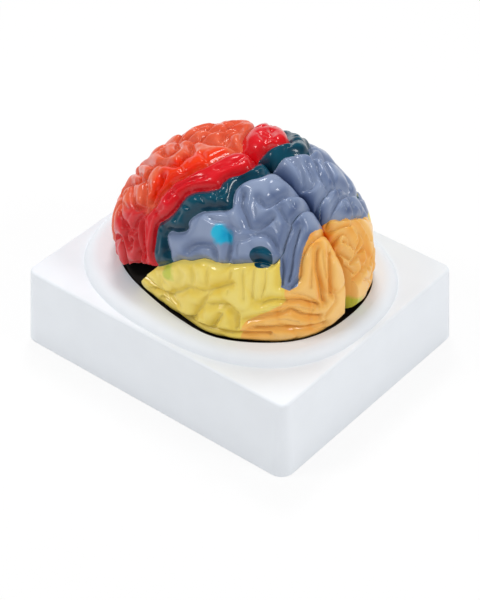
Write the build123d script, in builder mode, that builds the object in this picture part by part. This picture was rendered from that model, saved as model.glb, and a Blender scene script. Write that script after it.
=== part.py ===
"""Anatomical brain model that lifts out of a white cradle base, in millimetres.

The brain is split down the middle, and each half comes apart into a frontal and parietal piece,
a temporal and occipital piece, half a cerebellum and half a brain stem. Dowels line the pieces up.
X runs to the brain's right, Y to its front and Z up, from the middle of the base's underside.
"""

import os

import numpy as np
from build123d import *

# Base
base_length = 204.0
base_width = 170.0
base_height = 54.0
base_flare = 3.3
base_corner = 6.0
base_top_round = 2.0
base_foot_round = 1.0
foot_rim = 8.0
foot_recess = 1.5
collar_height = 5.8
collar_half_width = 82.0
collar_half_length = 98.5
collar_power = 2.45
# Height above the box and inset of each step up the collar's rounded shoulder
collar_steps = [(-0.5, 0.0), (0.8, 0.6), (3.2, 2.4), (5.0, 5.0), (collar_height, 8.5)]

# Smooth outer form of the brain, before it is folded
front_length = 92.0
back_length = 80.0
half_width = 63.6
crown_rise = 86.0
belly_drop = 30.5
widest_y = -7.0
widest_z = 70.5
roundness = 2.3
front_narrowing = 0.03
back_widening = 0.10
front_fall = 0.29
back_fall = 0.08

# Swells of the lobes: latitude, longitude, reach in each, height
swells = {
    "crown_flat": (12, 5, 20, 25, -4.4),
    "parietal_flat": (-30, 40, 22, 22, -1.4),
    "lower_frontal": (42, 75, 20, 22, 9.0),
    "temporal": (-15, 100, 22, 18, 7.4),
}

# Folds of the cortex
fold_depth = 3.2
fold_width = 2.9
gyrus_crown = 1.5
gyrus_reach = 8.0
fissure_depth = 15.0
fissure_reach = 19.0
parting_start = 45.0
parting_width = 8.0
core_height = 70.0
core_back, core_front = -50.0, 45.0
slice_count = 74
rib_count = 74
smooth_slices = 24
smooth_ribs = 24
end_latitude = 86.5

# Fit of the pieces
half_gap = 0.25
seam_gap = 0.3
seat_gap = 0.4
cradle_gap = 0.8
dowel_radius = 2.0
dowel_length = 16.0
dowel_gap = 0.1
dowel_end_gap = 0.5

# Underside
beyond = 120.0
belly_level = widest_z - belly_drop
frontal_floor = 57.5
frontal_floor_back = 58.0
frontal_rise_y = 49.0
frontal_rise_z = 65.5
temporal_tip_y = 30.0
temporal_tip_z = 61.0
temporal_notch = 6.0
temporal_brow = [(27.0, 69.0), (21.5, 76.5), (17.0, 82.0)]
cradle_front_floor = 56.5
cerebellum_centre = (0.0, -49.0, 32.0)
cerebellum_half_size = (46.0, 28.0, 18.0)
cerebellum_slices = 26
cerebellum_ribs = 44
folium_pitch = 5.2
folium_depth = 0.9
stem_y = -14.0
stem_top = 66.0
stem_neck = 46.0
stem_foot = 9.0
stem_plug_radius = 12.0
stem_well = (19.0, 17.0)
# Level, half width, half depth and Y of each cross-section of the stem
stem_sections = [
    (stem_foot, 7.0, 6.0, -22.0),
    (19.0, 9.0, 8.0, -20.0),
    (25.0, 13.5, 11.0, -16.0),
    (34.0, 17.0, 13.5, -13.0),
    (42.0, 14.0, 12.5, -13.5),
    (stem_neck + 1, stem_plug_radius - 1, stem_plug_radius - 1, stem_y),
]

# Dowels: Y and Z of those across the middle, and X, Y and Z of those that join upper to lower
dowels_across = [(42, 100), (-30, 112), (-68, 84), (16, 62), (-52, 32), (-14, 34)]
dowels_upright = [(36, 2, 76), (22, -50, 51)]
dowels_level = [(24, -60, 98)]

# Furrows as latitude and longitude on the brain, in degrees. Latitude runs from -90 at the back
# to 90 at the front, longitude from 0 at the top through 90 at the side to 180 underneath.
central_side = [(1, 39), (4, 44), (5, 47), (6, 54), (8, 57), (12, 63), (12, 76), (8, 80)]
postcentral_side = [(-8, 44), (-2, 47), (0, 54), (3, 61), (6, 64), (5, 71), (2, 74)]
precentral_side = [(11, 40), (13, 47), (16, 54), (19, 60)]
left_central = [(-10, 2), (-10, 14), (-8, 18), (-5, 24), (-4, 33), *central_side]
right_central = [(-6, 2), (-6, 15), (-8, 20), (-4, 26), (-1, 31), *central_side]
left_postcentral = [(-18, 2), (-18, 11), (-16, 16), (-10, 26), (-10, 31), (-12, 38)]
left_postcentral += postcentral_side
right_postcentral = [(-14, 2), (-16, 9), (-16, 16), (-17, 22), (-15, 28), (-10, 34), (-12, 39)]
right_postcentral += postcentral_side
left_precentral = [(0, 2), (2, 14), (4, 25), (5, 29), (7, 34), *precentral_side]
right_precentral = [(3, 2), (6, 8), (8, 16), (8, 30), *precentral_side]
lateral = [(27, 89), (22, 87), (18, 85), (12, 83), (8, 80), (2, 74), (-1, 72), (-6, 68), (-12, 67)]
lateral += [(-18, 64), (-26, 59), (-32, 55), (-37, 53), (-39, 46)]
parieto_occipital = [(-39, 46), (-38, 33), (-36, 26), (-36, 17), (-36, 2)]

shared_furrows = {
    "lateral": lateral,
    "parieto_occipital": parieto_occipital,
    "superior_frontal": [(16, 17), (18, 20), (17, 27), (24, 27), (28, 27), (31, 34), (30, 41)],
    "frontal_edge": [(22, 2), (22, 6), (18, 12), (16, 17)],
    "frontal_edge_fore": [(31, 2), (29, 8), (25, 14), (27, 20), (33, 16)],
    "frontal_slope": [(30, 41), (25, 48), (22, 54), (19, 60)],
    "frontal_slope_back": [(17, 36), (16, 42), (16, 48), (16, 54)],
    "frontal_arc": [(30, 41), (36, 42), (40, 44), (37, 50), (34, 54), (28, 59), (22, 57)],
    "frontal_rise": [(42, 23), (36, 26), (30, 30)],
    "frontal_fall": [(54, 26), (45, 32), (36, 37), (36, 42)],
    "opercular_arch": [(19, 60), (22, 63), (24, 67), (26, 72), (33, 70), (38, 67), (40, 63), (47, 57)],
    "opercular_side": [(40, 81), (34, 79), (31, 85), (30, 94)],
    "frontal_top": [(37, 2), (38, 10), (44, 15), (52, 12), (60, 14)],
    "frontal_fore": [(42, 23), (50, 22), (58, 27), (66, 24), (74, 34)],
    "frontal_tip": [(62, 2), (68, 14), (72, 30), (66, 44)],
    "frontal_side": [(40, 44), (47, 44), (52, 52), (47, 57), (48, 68), (44, 80), (46, 92)],
    "frontal_side_fore": [(54, 26), (56, 40), (62, 46), (57, 58), (58, 72), (52, 84)],
    "frontal_low": [(66, 44), (70, 60), (64, 74), (66, 92)],
    "orbital": [(46, 92), (50, 106), (46, 122)],
    "orbital_fore": [(66, 92), (62, 108), (58, 126)],
    "superior_temporal": [(6, 90), (2, 88), (-3, 83), (-8, 82), (-16, 78), (-24, 72), (-30, 70)],
    "middle_temporal": [(2, 90), (0, 96), (-6, 94), (-10, 89), (-14, 85), (-20, 83), (-26, 83)],
    "middle_temporal_end": [(-26, 83), (-28, 87), (-26, 94)],
    "lower_temporal": [(8, 100), (0, 104), (-10, 101), (-20, 100), (-30, 98), (-42, 98)],
    "lateral_occipital": [(-30, 88), (-40, 84), (-48, 81), (-53, 78), (-60, 82), (-70, 86)],
    "occipital_upper": [(-36, 78), (-42, 74), (-50, 72), (-58, 69), (-68, 71)],
    "occipital_base": [(-34, 91), (-44, 90), (-54, 91), (-64, 100), (-72, 112)],
    "tongue_fore": [(-37, 25), (-38, 33), (-40, 44), (-43, 52), (-45, 62)],
    "lunate": [(-50, 2), (-50, 16), (-49, 26), (-50, 38), (-53, 50), (-50, 62)],
    "occipital_rib": [(-54, 22), (-59, 34), (-64, 42), (-68, 52), (-72, 66)],
    "occipital_rib_back": [(-60, 10), (-65, 20), (-71, 34), (-76, 50)],
}
side_only = {
    "left": {
        "central": left_central,
        "postcentral": left_postcentral,
        "precentral": left_precentral,
        "intraparietal": [(-12, 28), (-14, 34), (-18, 38), (-22, 42), (-26, 36), (-28, 29)],
        "parietal_cup": [(-19, 26), (-23, 26), (-25, 20), (-27, 12), (-28, 3)],
        "parietal_back": [(-28, 22), (-32, 24), (-37, 26)],
        "angular": [(-24, 43), (-28, 40), (-33, 40), (-39, 45)],
        "supramarginal": [(0, 68), (-2, 64), (-7, 61), (-10, 62), (-12, 67)],
        "supramarginal_back": [(-14, 50), (-16, 56), (-17, 65)],
        "tongue_middle": [(-41, 22), (-44, 36), (-47, 48), (-48, 58)],
    },
    "right": {
        "central": right_central,
        "postcentral": right_postcentral,
        "precentral": right_precentral,
        "parietal_edge": [(-17, 9), (-20, 14), (-24, 11), (-28, 6), (-33, 5), (-37, 2)],
        "parietal_ridge": [(-21, 18), (-28, 16), (-34, 13), (-38, 17), (-41, 22)],
        "parietal_side": [(-22, 24), (-30, 27), (-36, 22), (-41, 22)],
        "intraparietal": [(-14, 38), (-22, 38), (-30, 36), (-38, 34)],
        "angular": [(-22, 46), (-31, 44), (-37, 53)],
        "parietal_back": [(-41, 22), (-45, 12), (-47, 3)],
        "tongue_middle": [(-41, 22), (-45, 32), (-47, 44), (-46, 54)],
        "occipital_turn": [(-59, 6), (-64, 8), (-68, 10), (-74, 20)],
        "supramarginal": [(-2, 58), (-8, 54), (-13, 60)],
    },
}


def power(value, exponent):
    return np.sign(value) * np.abs(value) ** exponent


def brain_form(latitude, longitude):
    """Points of the smooth brain, on its positive side, in level slices along Y."""
    theta, phi = np.radians(latitude), np.radians(longitude)
    along = power(np.sin(theta), 2 / roundness)
    shrink = np.abs(np.cos(theta)) ** (2 / roundness)
    front, above = along > 0, np.cos(phi) > 0
    narrowing = np.where(front, front_narrowing, -back_widening) * along**2
    fall = np.where(front, front_fall, back_fall) * along**2
    rise = np.where(above, crown_rise * (1 - fall), belly_drop)
    x = half_width * (1 - narrowing) * shrink * np.abs(np.sin(phi)) ** (2 / roundness)
    y = widest_y + np.where(front, front_length, back_length) * along
    z = widest_z + rise * shrink * power(np.cos(phi), 2 / roundness)
    points = np.stack([x, y, z], -1)
    outward = points - np.array([0, 0, widest_z])
    outward /= np.linalg.norm(outward, axis=-1, keepdims=True)
    outward[..., 1] = 0
    lift = 0.0
    for lat, lon, lat_reach, lon_reach, height in swells.values():
        for centre in (lon, -lon, 360 - lon):
            spread = ((latitude - lat) / lat_reach) ** 2 + ((longitude - centre) / lon_reach) ** 2
            lift = lift + height * np.exp(-spread)
    return points + outward * np.asarray(lift)[..., None]


def parted_form(latitude, longitude):
    """The smooth brain with its halves parted towards both ends, as a V."""
    points = brain_form(latitude, longitude)
    share = np.clip((np.abs(latitude) - parting_start) / (90 - parting_start), 0, 1)
    points[..., 0] = np.hypot(points[..., 0], parting_width * share**2)
    return points


def furrow_distance(points, furrows):
    """Distance from each point to the nearest furrow."""
    nearest = np.full(points.shape[:-1], 1e3)
    for route in furrows.values():
        lat, lon = np.array(route, float).T
        knots = parted_form(lat, lon)
        for start, end in zip(knots[:-1], knots[1:]):
            step = end - start
            along = np.clip((points - start) @ step / (step @ step), 0, 1)
            gap = np.linalg.norm(points - start - along[..., None] * step, axis=-1)
            nearest = np.minimum(nearest, gap)
    return nearest


def loft_half(points, side):
    """One solid half of a form from rings of points, each ring running from top to bottom."""
    points = points * np.array([side, 1, 1])
    points[np.abs(points[..., 0]) < 1e-6, 0] = 0
    shares = [float(share) for share in np.linspace(0, 1, points.shape[1])]
    slices = []
    for ring in points.tolist():
        rib = Edge.make_spline([Vector(*point) for point in ring], parameters=shares)
        slices.append(Wire([rib, Edge.make_line(rib @ 1, rib @ 0)]))
    return Solid.make_loft(slices)


def angle_grid(slices, ribs):
    """Latitudes and longitudes that cover one side from back to front and top to bottom."""
    latitudes = np.linspace(-end_latitude, end_latitude, slices)
    return np.meshgrid(latitudes, np.linspace(0, 180, ribs), indexing="ij")


def inward(points):
    """Direction in which each point may sink, towards a line inside the brain."""
    core = np.zeros_like(points)
    core[..., 1] = np.clip(points[..., 1], core_back, core_front)
    core[..., 2] = core_height
    way = core - points
    way /= np.linalg.norm(way, axis=-1, keepdims=True)
    way[..., 1] = 0
    return way


def brain_half(side, furrows):
    """One folded half of the brain, on the side that the sign gives."""
    points = parted_form(*angle_grid(slice_count, rib_count))
    gap = furrow_distance(points, furrows)
    depth = fold_depth * np.exp(-((gap / fold_width) ** 2))
    depth += gyrus_crown * (1 - np.minimum(gap / gyrus_reach, 1)) ** 2
    depth += fissure_depth * (1 - np.minimum(points[..., 0] / fissure_reach, 1)) ** 2
    return loft_half(points + inward(points) * depth[..., None], side)


def smooth_half(side, grow):
    """The unfolded half, grown all round, which the cradle and its clearance follow."""
    points = brain_form(*angle_grid(smooth_slices, smooth_ribs))
    middle = np.array([0, widest_y, widest_z])
    reach = np.array([half_width, (front_length + back_length) / 2, belly_drop])
    return loft_half(middle + (points - middle) * (1 + grow / reach), side)


def cerebellum_half(side, grow=0.0, leaves=True):
    """Half a cerebellum with level leaves, or its smooth form grown by a clearance."""
    lat, lon = angle_grid(cerebellum_slices, cerebellum_ribs)
    theta, phi = np.radians(lat), np.radians(lon)
    unit = np.stack([np.cos(theta) * np.sin(phi), np.sin(theta), np.cos(theta) * np.cos(phi)], -1)
    points = unit * (np.array(cerebellum_half_size) + grow)
    if leaves:
        wave = np.cos(np.pi * points[..., 2] / folium_pitch) ** 6
        points[..., (0, 2)] -= (unit * folium_depth * wave[..., None])[..., (0, 2)]
    return loft_half(points + np.array(cerebellum_centre), side)


def superellipse(half_x, half_y, bend, count=32):
    """Outline of a rounded oval."""
    turn = np.linspace(0, 2 * np.pi, count, endpoint=False)
    reach = (np.abs(np.cos(turn) / half_x) ** bend + np.abs(np.sin(turn) / half_y) ** bend) ** (
        -1 / bend
    )
    x, y = reach * np.cos(turn), reach * np.sin(turn)
    return Edge.make_spline([Vector(*xy) for xy in zip(x.tolist(), y.tolist())], periodic=True)


def seam_points():
    """The line between the upper and the lower pieces, seen from the side, front to back.

    It follows the bottom of the furrow between them.
    """
    points = parted_form(*np.array(lateral + parieto_occipital[1:], float).T)
    points += inward(points) * (fold_depth + gyrus_crown)
    return [(y, z) for _, y, z in points.tolist()]


def upper_profile(gap=0.0):
    """Side view of the space of the frontal and parietal pieces, grown by a gap."""
    seam = seam_points()
    with BuildSketch(Plane.YZ) as profile:
        with BuildLine():
            Polyline(
                (beyond, frontal_floor),
                (frontal_floor_back, frontal_floor),
                (frontal_rise_y, frontal_rise_z),
                *seam,
                (seam[-1][0], 2 * beyond),
                (beyond, 2 * beyond),
                close=True,
            )
        make_face()
        if gap:
            offset(amount=gap, kind=Kind.INTERSECTION)
    return profile.sketch


def lower_profile():
    """Side view of the space behind the rounded tip and brow of the temporal lobe."""
    with BuildSketch(Plane.YZ) as profile:
        with BuildLine():
            tip = Spline(
                (temporal_tip_y - 25, belly_level - 6),
                (temporal_tip_y - 7, temporal_tip_z - 9),
                (temporal_tip_y, temporal_tip_z),
                *temporal_brow,
            )
            Polyline(
                tip @ 1,
                (temporal_brow[-1][0], 2 * beyond),
                (-beyond, 2 * beyond),
                (-beyond, belly_level - 6),
                tip @ 0,
            )
        make_face()
    return profile.sketch


def slab(profile):
    """A side view drawn right across the model."""
    return extrude(profile, amount=beyond, both=True)


def stem_form(grow=0.0):
    """Whole brain stem: medulla, pons and the plug that goes up into the brain."""
    with BuildPart() as stem:
        for level, half_x, half_y, y in stem_sections:
            low = grow if level == stem_foot else 0
            with BuildSketch(Plane((0, y, level - low))):
                Ellipse(half_x + grow, half_y + grow)
        loft()
        with BuildSketch(Plane((0, stem_y, stem_neck))):
            Circle(stem_plug_radius + grow)
        extrude(amount=stem_top + grow - stem_neck)
    return stem.part


def side_of(part, side):
    """The share of a part on one side of the middle, less half of the gap between the halves."""
    with BuildPart() as half:
        add(part)
        with Locations((side * (half_gap + beyond), 0, 0)):
            Box(2 * beyond, 4 * beyond, 4 * beyond, mode=Mode.INTERSECT)
    return half.part


def dowel_places():
    """Middle and direction of each dowel, for one side and for the joint between the halves."""
    across = [Plane((0, y, z), z_dir=(1, 0, 0)) for y, z in dowels_across]
    upright = []
    for side in (-1, 1):
        upright += [Plane((side * x, y, z)) for x, y, z in dowels_upright]
        upright += [Plane((side * x, y, z), z_dir=(0, 1, 0)) for x, y, z in dowels_level]
    return across + upright


def dowel_cores(radius, length):
    """All dowels, or the holes for them."""
    with BuildPart() as cores:
        for place in dowel_places():
            with Locations(place.location):
                Cylinder(radius, length)
    return cores.part


def cortex(side, furrows):
    """The upper and the lower cortex piece of one side."""
    folded = side_of(brain_half(side, furrows), side)
    above, behind, taken = slab(upper_profile()), slab(lower_profile()), slab(upper_profile(seam_gap))
    with BuildPart() as upper:
        add(folded)
        add(above, mode=Mode.INTERSECT)
        add(holes, mode=Mode.SUBTRACT)
    with BuildPart() as lower:
        add(folded)
        add(behind, mode=Mode.INTERSECT)
        add(taken, mode=Mode.SUBTRACT)
        add(stem_form(seat_gap), mode=Mode.SUBTRACT)
        add(cerebellum_half(side, seat_gap, leaves=False), mode=Mode.SUBTRACT)
        add(holes, mode=Mode.SUBTRACT)
    return upper.part, lower.part


def cerebellum(side):
    """Half a cerebellum, hollowed where the stem passes in front of it."""
    with BuildPart() as piece:
        add(side_of(cerebellum_half(side), side))
        add(stem_form(seat_gap), mode=Mode.SUBTRACT)
        add(holes, mode=Mode.SUBTRACT)
    return piece.part


def stem(side):
    with BuildPart() as piece:
        add(side_of(stem_form(), side))
        add(holes, mode=Mode.SUBTRACT)
    return piece.part


def base():
    """Tapered box with a rounded collar, and the cradle that the brain lies in."""
    taper = float(np.degrees(np.arctan2(base_flare, base_height)))
    with BuildPart() as box:
        with BuildSketch():
            RectangleRounded(
                base_width + 2 * base_flare, base_length + 2 * base_flare, base_corner + base_flare
            )
        extrude(amount=base_height, taper=taper)
        fillet(box.faces().sort_by(Axis.Z)[-1].edges(), base_top_round)
        fillet(box.faces().sort_by(Axis.Z)[0].edges(), base_foot_round)
        for level, inset in collar_steps:
            with BuildSketch(Plane((0, 0, base_height + level))):
                outline = superellipse(
                    collar_half_width - inset, collar_half_length - inset, collar_power
                )
                make_face(outline)
        loft()
        with BuildSketch():
            RectangleRounded(
                base_width + 2 * (base_flare - foot_rim),
                base_length + 2 * (base_flare - foot_rim),
                base_corner,
            )
        extrude(amount=foot_recess, mode=Mode.SUBTRACT)
    with BuildSketch(Plane.YZ) as reach:
        with BuildLine():
            Polyline(
                (-beyond, 0),
                (temporal_tip_y + temporal_notch, 0),
                (temporal_tip_y + temporal_notch, cradle_front_floor),
                (beyond, cradle_front_floor),
                (beyond, beyond),
                (-beyond, beyond),
                close=True,
            )
        make_face()
    cradle_reach = slab(reach.sketch)
    with BuildPart() as cradle:
        for side in (-1, 1):
            add(smooth_half(side, cradle_gap))
        add(cradle_reach, mode=Mode.INTERSECT)
    with BuildPart() as wells:
        for side in (-1, 1):
            add(cerebellum_half(side, cradle_gap, leaves=False))
        with BuildSketch(Plane(cerebellum_centre)):
            Ellipse(cerebellum_half_size[0] + cradle_gap, cerebellum_half_size[1] + cradle_gap)
        extrude(amount=base_height - cerebellum_centre[2] + collar_height)
        with BuildSketch(Plane((0, stem_y, stem_foot - cradle_gap))):
            Ellipse(*stem_well)
        extrude(amount=base_height)
    with BuildPart() as piece:
        add(box.part)
        add(cradle.part, mode=Mode.SUBTRACT)
        add(wells.part, mode=Mode.SUBTRACT)
    return piece.part


holes = dowel_cores(dowel_radius + dowel_gap, dowel_length + 2 * dowel_end_gap)
names = {-1: "left", 1: "right"}
parts = {"base": base(), "dowels": dowel_cores(dowel_radius, dowel_length)}
for side in (-1, 1):
    upper, lower = cortex(side, {**shared_furrows, **side_only[names[side]]})
    parts[f"{names[side]}_frontal_parietal_lobes"] = upper
    parts[f"{names[side]}_temporal_occipital_lobes"] = lower
    parts[f"{names[side]}_cerebellum"] = cerebellum(side)
    parts[f"{names[side]}_brain_stem"] = stem(side)

os.makedirs("parts", exist_ok=True)
for name, part in parts.items():
    part.label = name
    export_step(part, f"parts/{name}.step")
    print(name, len(part.solids()), "solid", round(part.volume / 1000, 1), "cm3")
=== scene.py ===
# %% [markdown]
# # A brain model that comes apart, on its white base
# The object is a classroom model: a folded plastic brain, painted in fields of colour, that rests
# in the cradle of a white box. The measured solids give every size. This lesson dresses them: the
# box keeps its solid and gets a plastic finish, and the cortex is built again with finer folds.

# %% Load the measured solids
import math

import bmesh
import bpy
import numpy as np
from mathutils import Matrix, Vector


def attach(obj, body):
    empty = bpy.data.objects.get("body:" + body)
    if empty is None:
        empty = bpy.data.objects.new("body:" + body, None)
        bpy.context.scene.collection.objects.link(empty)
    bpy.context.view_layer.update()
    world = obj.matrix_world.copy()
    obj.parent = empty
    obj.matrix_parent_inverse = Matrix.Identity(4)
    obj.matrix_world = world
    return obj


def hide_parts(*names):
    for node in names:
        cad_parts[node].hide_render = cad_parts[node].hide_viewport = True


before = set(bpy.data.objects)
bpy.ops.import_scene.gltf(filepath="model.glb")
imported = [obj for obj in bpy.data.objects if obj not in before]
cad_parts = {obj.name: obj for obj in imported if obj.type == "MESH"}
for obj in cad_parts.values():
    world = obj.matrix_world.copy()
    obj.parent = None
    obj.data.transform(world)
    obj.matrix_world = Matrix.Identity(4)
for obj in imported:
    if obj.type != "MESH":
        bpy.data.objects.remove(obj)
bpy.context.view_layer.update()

mm = 0.001
print("Solids:", ", ".join(sorted(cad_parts)))

# %% [markdown]
# ## Camera
# The photograph looks down on the back left corner of the base. A long lens far away keeps the
# sides of the box nearly parallel. The camera looks straight along its axis at a point above the
# base, and has no shift and no depth of field.

# %% Camera at the photograph's angle
photo_azimuth, photo_elevation = math.radians(-50.80), math.radians(39.07)
photo_distance = 1357.8 * mm
photo_lens = 127.6
long_side = 36.0
aim_height = 22.3 * mm

toward_camera = Vector((
    math.sin(photo_azimuth) * math.cos(photo_elevation),
    -math.cos(photo_azimuth) * math.cos(photo_elevation),
    math.sin(photo_elevation),
))
camera_right = Vector((math.cos(photo_azimuth), math.sin(photo_azimuth), 0))
camera_up = toward_camera.cross(camera_right)


def placed(name, data):
    """A new object in the scene."""
    thing = bpy.data.objects.new(name, data)
    bpy.context.scene.collection.objects.link(thing)
    return thing


def turned(right, up, back, place):
    """A placement from three axes, for a camera or a lamp that looks along minus back."""
    turn = Matrix((right, up, back)).transposed().to_4x4()
    return Matrix.Translation(place) @ turn


camera_data = bpy.data.cameras.new("photo_camera")
camera_data.sensor_fit = "VERTICAL"
camera_data.sensor_height = long_side
camera_data.lens = photo_lens
camera_data.clip_start = 0.05
camera = placed("photo_camera", camera_data)
camera.matrix_world = turned(
    camera_right, camera_up, toward_camera, toward_camera * photo_distance + camera_up * aim_height
)
bpy.context.scene.camera = camera
print("Camera stands at", [round(v, 3) for v in camera.matrix_world.translation])

# %% [markdown]
# ## Building nodes in code
# Materials and Geometry Nodes both are trees of nodes. One small helper adds a node, sets its
# options and fills or links its inputs, so that a tree reads from top to bottom.

# %% Helpers for every tree
def add_node(tree, kind, inputs=None, **options):
    """Add a node. Inputs map a socket's name or number to a value, or to another node's output."""
    node = tree.nodes.new(kind)
    for name, value in options.items():
        setattr(node, name, value)
    for socket, value in (inputs or {}).items():
        if isinstance(value, bpy.types.NodeSocket):
            tree.links.new(value, node.inputs[socket])
        else:
            node.inputs[socket].default_value = value
    return node


def empty_tree(owner):
    """The node tree of a new material or world, with nothing in it."""
    owner.use_nodes = True
    owner.node_tree.nodes.clear()
    return owner.node_tree


def maths(tree, operation, first, second=0.0, clamp=False):
    """The result of one sum on two numbers."""
    node = add_node(tree, "ShaderNodeMath", {0: first, 1: second}, operation=operation)
    node.use_clamp = clamp
    return node.outputs[0]


def noise(tree, place, scale, detail):
    """A noise from 0 to 1 that swings round 0.5."""
    inputs = {"Vector": place, "Scale": scale, "Detail": detail}
    return add_node(tree, "ShaderNodeTexNoise", inputs).outputs["Fac"]


def blend(tree, share, below, above):
    """A colour that turns from one into another with a share from 0 to 1."""
    inputs = {"Factor": share, "A": below, "B": above}
    return add_node(tree, "ShaderNodeMix", inputs, data_type="RGBA").outputs["Result"]


def add_sockets(tree, direction, sockets):
    """Declare a group's named inputs or outputs, each with its kind and, if any, its value."""
    for name, kind, *value in sockets:
        kind = f"NodeSocket{kind}"
        socket = tree.interface.new_socket(name, in_out=direction, socket_type=kind)
        if value:
            socket.default_value = value[0]


def linear(red, green, blue):
    """A colour as an eye or a picture gives it, 0 to 255, in the light values of a shader."""
    shares = [v / 255 for v in (red, green, blue)]
    light = [v / 12.92 if v <= 0.04045 else ((v + 0.055) / 1.055) ** 2.4 for v in shares]
    return (*light, 1.0)


print("Helpers ready")

# %% [markdown]
# ## Floor, backdrop and lamps
# The photograph has a pure white ground with a faint shadow at the foot of the base. The floor
# takes light as any pale sheet does, and for a camera, glossy or transmission ray most of it also
# shines at strength 1, which is white. The rest of its look is the light that falls on it, so the
# shadow stays. The world is white for the same rays too, and a soft light for all others. Only
# its ceiling is dim for glossy rays, as in a studio, so that strong colours aren't veiled by it.

# %% Floor and world
floor_size = 8.0
floor_shine = 0.85
paper_white = (0.9, 0.9, 0.9, 1)
soft_world = 0.58
# The ceiling is dim for glossy rays that go up by more than this share of their length
dark_ceiling, ceiling_start = 0.12, 0.3


def background_ray(tree):
    """1 for the rays that see the background: camera, glossy and transmission rays."""
    path = add_node(tree, "ShaderNodeLightPath")
    seen = maths(tree, "MAXIMUM", path.outputs["Is Camera Ray"], path.outputs["Is Glossy Ray"])
    return maths(tree, "MAXIMUM", seen, path.outputs["Is Transmission Ray"])


def floor_material():
    material = bpy.data.materials.new("white_floor")
    tree = empty_tree(material)
    paper = add_node(tree, "ShaderNodeBsdfDiffuse", {"Color": paper_white})
    shine = add_node(tree, "ShaderNodeEmission", {"Color": (1, 1, 1, 1), "Strength": 1.0})
    share = maths(tree, "MULTIPLY", background_ray(tree), floor_shine)
    mix = add_node(
        tree, "ShaderNodeMixShader", {0: share, 1: paper.outputs[0], 2: shine.outputs[0]}
    )
    add_node(tree, "ShaderNodeOutputMaterial", {"Surface": mix.outputs[0]})
    return material


floor_mesh = bpy.data.meshes.new("floor")
reach = floor_size / 2
corners = [(-reach, -reach, 0), (reach, -reach, 0), (reach, reach, 0), (-reach, reach, 0)]
floor_mesh.from_pydata(corners, [], [(0, 1, 2, 3)])
floor_mesh.materials.append(floor_material())
floor = placed("floor", floor_mesh)

world = bpy.data.worlds.new("soft_white")
bpy.context.scene.world = world
sky = empty_tree(world)
direction = add_node(sky, "ShaderNodeTexCoord").outputs["Generated"]
height = add_node(sky, "ShaderNodeSeparateXYZ", {0: direction}).outputs["Z"]
path = add_node(sky, "ShaderNodeLightPath")
studio = add_node(
    sky, "ShaderNodeMapRange", {"Value": height, 1: 0.0, 2: ceiling_start, 3: 1.0, 4: dark_ceiling}
)
gloss = maths(sky, "SUBTRACT", studio.outputs[0], soft_world)
gloss = maths(sky, "MULTIPLY", path.outputs["Is Glossy Ray"], gloss)
clear = maths(sky, "MAXIMUM", path.outputs["Is Camera Ray"], path.outputs["Is Transmission Ray"])
clear = maths(sky, "MULTIPLY", clear, 1 - soft_world)
strength = maths(sky, "ADD", maths(sky, "ADD", gloss, clear), soft_world)
backdrop = add_node(sky, "ShaderNodeBackground", {"Color": (1, 1, 1, 1), "Strength": strength})
add_node(sky, "ShaderNodeOutputWorld", {"Surface": backdrop.outputs[0]})
print("Floor", floor_size, "m across, world light", soft_world)

# %% [markdown]
# The white faces of the base are lit almost alike and are all a little grey, so nothing clips to
# white. One soft box stands on either side of the camera, and a third hangs above the brain to
# draw long highlights on the folds. They are small, which keeps the highlights narrow. Their
# places are in metres from the middle of the brain, along the camera's own axes.

# %% Three soft boxes
lamp_plan = {
    "right_softbox": {"side": 0.8, "up": 0.3, "near": 0.9, "size": 0.24, "power": 3.7},
    "left_softbox": {"side": -0.8, "up": 0.6, "near": 0.8, "size": 0.26, "power": 4.0},
    "top_softbox": {"side": 0.0, "up": 1.15, "near": 0.2, "size": 0.28, "power": 4.4},
}
brain_middle = Vector((0, 0, 80 * mm))
for lamp_name, plan in lamp_plan.items():
    place = camera_right * plan["side"] + camera_up * plan["up"] + toward_camera * plan["near"]
    back = place.normalized()
    right = Vector((0, 0, 1)).cross(back).normalized()
    light = bpy.data.lights.new(lamp_name, "AREA")
    light.shape = "SQUARE"
    light.size = plan["size"]
    light.energy = plan["power"]
    lamp = placed(lamp_name, light)
    lamp.matrix_world = turned(right, back.cross(right), back, brain_middle + place)
    print(lamp_name, plan["power"], "W")

# %% [markdown]
# ## The smooth brain
# Under its folds the cortex is one smooth rounded form. It is drawn from a formula: a rounded box
# whose front and back differ, flattened and swollen in four places, with its halves parted in a V
# at both ends. A point on it has a latitude, from -90 at the back to 90 at the front, and a
# longitude, from 0 at the top through 90 at the side to 180 underneath. The solids were drawn
# from the same formula, so the two forms agree.

# %% Formula of the smooth brain
front_length, back_length = 92.0, 80.0
half_width = 63.6
crown_rise, belly_drop = 86.0, 30.5
widest_y, widest_z = -7.0, 70.5
roundness = 2.3
front_narrowing, back_widening = 0.03, 0.10
front_fall, back_fall = 0.29, 0.08
parting_start, parting_width = 45.0, 8.0
# Latitude, longitude, reach in each, height
swells = {
    "crown_flat": (12, 5, 20, 25, -4.4),
    "parietal_flat": (-30, 40, 22, 22, -1.4),
    "lower_frontal": (42, 75, 20, 22, 9.0),
    "temporal": (-15, 100, 22, 18, 7.4),
}


def power(value, exponent):
    return np.sign(value) * np.abs(value) ** exponent


def parting(latitude):
    """How far the two halves part at a latitude, from 0 in the middle to 1 at the ends."""
    return np.clip((np.abs(latitude) - parting_start) / (90 - parting_start), 0, 1) ** 2


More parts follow.
